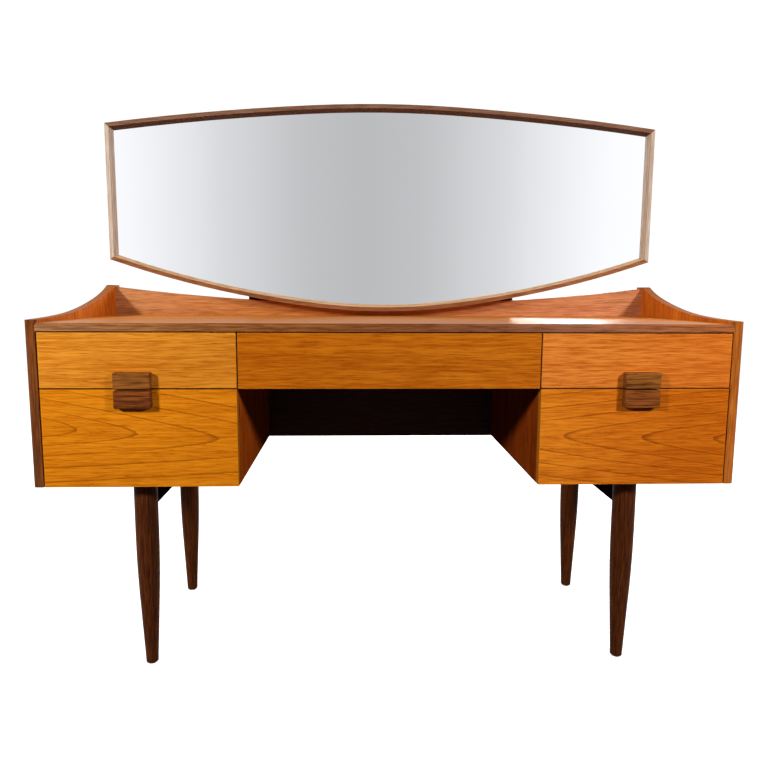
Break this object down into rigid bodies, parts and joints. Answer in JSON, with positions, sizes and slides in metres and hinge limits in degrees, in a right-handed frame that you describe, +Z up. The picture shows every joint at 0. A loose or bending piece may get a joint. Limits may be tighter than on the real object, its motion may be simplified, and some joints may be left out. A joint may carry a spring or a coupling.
{
  "type": "dressing table with mirror",
  "caption": "Long low dressing table with drawer pedestals either side of a kneehole, turned tapering legs and a wide bowed tilting mirror.",
  "frame": {"origin": "on the floor, at the middle of the bounding box", "axes": "+X to the right of a person facing the drawers, along the table; -Y toward that person; +Z up"},
  "size_m": [1.422, 0.4906, 1.2615],
  "materials": {
    "carcass_veneer": "satin lacquered orange teak veneer",
    "drawer_veneer": "satin lacquered orange teak veneer, horizontal grain",
    "lipping_wood": "satin solid grey-brown hardwood edge",
    "handle_wood": "satin solid dark brown hardwood",
    "dark_wood": "satin stained dark brown hardwood",
    "frame_wood": "satin mid-brown hardwood",
    "strut_wood": "matt black-brown stained hardwood",
    "drawer_wood": "raw pale hardwood",
    "ply": "matt thin plywood",
    "mirror_glass": "silvered plate glass",
    "steel": "satin zinc-plated steel",
    "brass": "satin brass"
  },
  "bodies": {
    "carcass": {"back_panel": "ply", "drawer_runners_centre": "drawer_wood", "drawer_runners_left": "drawer_wood", "drawer_runners_right": "drawer_wood", "leg_front_left": "dark_wood", "leg_front_right": "dark_wood", "leg_rail_left": "dark_wood", "leg_rail_right": "dark_wood", "leg_rear_left": "dark_wood", "leg_rear_right": "dark_wood", "mirror_strut_left": "strut_wood", "mirror_strut_right": "strut_wood", "partition_left": "carcass_veneer", "partition_right": "carcass_veneer", "pedestal_bottoms": "carcass_veneer", "pivot_brackets": "steel", "pivot_pins": "steel", "rail_screws": "steel", "side_lipping_left": "lipping_wood", "side_lipping_right": "lipping_wood", "side_panel_left": "carcass_veneer", "side_panel_right": "carcass_veneer", "strut_screws": "steel", "top_lipping": "lipping_wood", "top_panel": "carcass_veneer", "upstand": "carcass_veneer"},
    "drawer_upper_left": {"drawer_upper_left_bottom": "ply", "drawer_upper_left_box": "drawer_wood", "drawer_upper_left_front": "drawer_veneer", "drawer_upper_left_handle": "handle_wood", "drawer_upper_left_handle_screws": "steel"},
    "drawer_lower_left": {"drawer_lower_left_bottom": "ply", "drawer_lower_left_box": "drawer_wood", "drawer_lower_left_front": "drawer_veneer", "drawer_lower_left_handle": "handle_wood", "drawer_lower_left_handle_screws": "steel"},
    "drawer_centre": {"drawer_centre_bottom": "ply", "drawer_centre_box": "drawer_wood", "drawer_centre_front": "drawer_veneer"},
    "drawer_upper_right": {"drawer_upper_right_bottom": "ply", "drawer_upper_right_box": "drawer_wood", "drawer_upper_right_front": "drawer_veneer", "drawer_upper_right_handle": "handle_wood", "drawer_upper_right_handle_screws": "steel"},
    "drawer_lower_right": {"drawer_lower_right_bottom": "ply", "drawer_lower_right_box": "drawer_wood", "drawer_lower_right_front": "drawer_veneer", "drawer_lower_right_handle": "handle_wood", "drawer_lower_right_handle_screws": "steel"},
    "mirror": {"mirror_frame_top": "frame_wood", "mirror_frame_bottom": "frame_wood", "mirror_frame_left": "frame_wood", "mirror_frame_right": "frame_wood", "mirror_glass": "mirror_glass", "mirror_backing": "ply", "mirror_battens": "strut_wood", "batten_screws": "steel", "pivot_lugs": "steel"},
    "knob_left": {"clamp_knob_left": "brass"},
    "knob_right": {"clamp_knob_right": "brass"}
  },
  "joints": [
    {"name": "drawer_upper_left_slide", "type": "slide", "parent": "carcass", "child": "drawer_upper_left", "axis": [0, -1, 0], "range_m": [0, 0.3]},
    {"name": "drawer_lower_left_slide", "type": "slide", "parent": "carcass", "child": "drawer_lower_left", "axis": [0, -1, 0], "range_m": [0, 0.3]},
    {"name": "drawer_centre_slide", "type": "slide", "parent": "carcass", "child": "drawer_centre", "axis": [0, -1, 0], "range_m": [0, 0.3]},
    {"name": "drawer_upper_right_slide", "type": "slide", "parent": "carcass", "child": "drawer_upper_right", "axis": [0, -1, 0], "range_m": [0, 0.3]},
    {"name": "drawer_lower_right_slide", "type": "slide", "parent": "carcass", "child": "drawer_lower_right", "axis": [0, -1, 0], "range_m": [0, 0.3]},
    {"name": "mirror_tilt", "type": "hinge", "parent": "carcass", "child": "mirror", "pos_m": [0, 0.2067, 1.028], "axis": [-1, 0, 0], "range_deg": [-2, 12]},
    {"name": "clamp_knob_left_turn", "type": "hinge", "parent": "carcass", "child": "knob_left", "pos_m": [-0.325, 0.2067, 1.028], "axis": [1, 0, 0], "range_deg": [0, 180]},
    {"name": "clamp_knob_right_turn", "type": "hinge", "parent": "carcass", "child": "knob_right", "pos_m": [0.325, 0.2067, 1.028], "axis": [1, 0, 0], "range_deg": [0, 180]}
  ]
}
